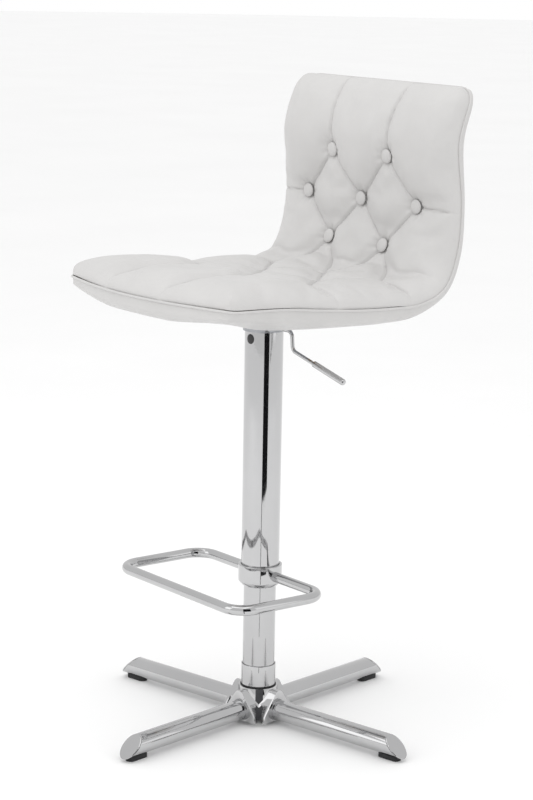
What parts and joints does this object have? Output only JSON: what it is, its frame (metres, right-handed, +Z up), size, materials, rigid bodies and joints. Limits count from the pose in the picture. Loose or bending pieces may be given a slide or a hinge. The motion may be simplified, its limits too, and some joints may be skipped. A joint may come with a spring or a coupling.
{
  "type": "adjustable swivel stool",
  "caption": "Gas-lift swivel stool with a chromed cross base, a footrest loop on the column, a side release lever and a button-tufted bucket seat in pale leatherette.",
  "frame": {"origin": "on the floor under the column's axis, the centre of the base's footprint", "axes": "+Z up along the column; the seat faces -Y, its back is towards +Y; +X is the sitter's left-hand side, where the release lever sticks out"},
  "size_m": [0.5938, 0.5938, 1.0062],
  "materials": {
    "chrome": "mirror polished chrome plate",
    "rubber": "matt black",
    "steel": "zinc plated",
    "dark_steel": "black, satin",
    "nylon": "natural nylon",
    "black_plastic": "satin black",
    "wood": "moulded plywood, raw",
    "foam": "open foam",
    "leatherette": "pale warm grey leatherette, fine grain, satin"
  },
  "bodies": {
    "base": {"base_hub": "chrome", "leg_1": "chrome", "leg_2": "chrome", "leg_3": "chrome", "leg_4": "chrome", "leg_cap_1": "chrome", "leg_cap_2": "chrome", "leg_cap_3": "chrome", "leg_cap_4": "chrome", "foot_pad_1": "rubber", "foot_pad_2": "rubber", "foot_pad_3": "rubber", "foot_pad_4": "rubber", "leg_bolt_1": "steel", "leg_bolt_2": "steel", "leg_bolt_3": "steel", "leg_bolt_4": "steel", "hub_gasket": "rubber", "column_ring": "chrome", "lower_tube": "chrome", "column_base_plate": "steel", "guide_bush": "nylon", "bearing_lower_washer": "steel"},
    "bearing": {"bearing_cage": "steel"},
    "spindle": {"piston_rod": "steel", "rubber_bumper": "rubber", "bearing_upper_washer": "steel", "retaining_clip": "dark_steel"},
    "seat": {"gas_cylinder": "dark_steel", "cover_tube": "chrome", "cover_screw": "dark_steel", "cover_plug": "black_plastic", "footrest_collar": "chrome", "glide_sleeve": "nylon", "footrest_loop": "chrome", "collar_screw": "dark_steel", "mount_plate": "steel", "taper_socket": "steel", "cover_spacer": "nylon", "lever_pivot_pin": "steel", "plate_bolt_1": "steel", "plate_bolt_2": "steel", "plate_bolt_3": "steel", "plate_bolt_4": "steel", "plywood_shell": "wood", "outer_cover": "leatherette", "seat_foam": "foam", "cushion_cover": "leatherette", "seat_piping": "leatherette", "tuft_button_1": "leatherette", "tuft_button_2": "leatherette", "tuft_button_3": "leatherette", "tuft_button_4": "leatherette", "tuft_button_5": "leatherette", "tuft_button_6": "leatherette", "tuft_button_7": "leatherette"},
    "lever": {"lever_arm": "chrome", "lever_grip": "chrome"},
    "valve": {"release_button": "steel"}
  },
  "joints": [
    {"name": "seat_swivel", "type": "hinge", "parent": "base", "child": "spindle", "pos_m": [0, 0, 0.05], "axis": [0, 0, 1], "continuous": true},
    {"name": "bearing_spin", "type": "hinge", "parent": "base", "child": "bearing", "pos_m": [0, 0, 0.05], "axis": [0, 0, 1], "continuous": true},
    {"name": "seat_lift", "type": "slide", "parent": "spindle", "child": "seat", "axis": [0, 0, 1], "range_m": [-0.11, 0.09]},
    {"name": "lever_lift", "type": "hinge", "parent": "seat", "child": "lever", "pos_m": [0.031, 0, 0.634], "axis": [0, -1, 0], "range_deg": [0, 5]},
    {"name": "button_press", "type": "slide", "parent": "seat", "child": "valve", "axis": [0, 0, 1], "range_m": [-0.0028, 0], "stiffness_N_per_m": 800, "springref_m": 0.003}
  ],
  "couplings": [
    {"joint": "bearing_spin", "follows": "seat_swivel", "ratio": 0.5},
    {"joint": "button_press", "follows": "lever_lift", "m_per_rad": -0.031}
  ]
}
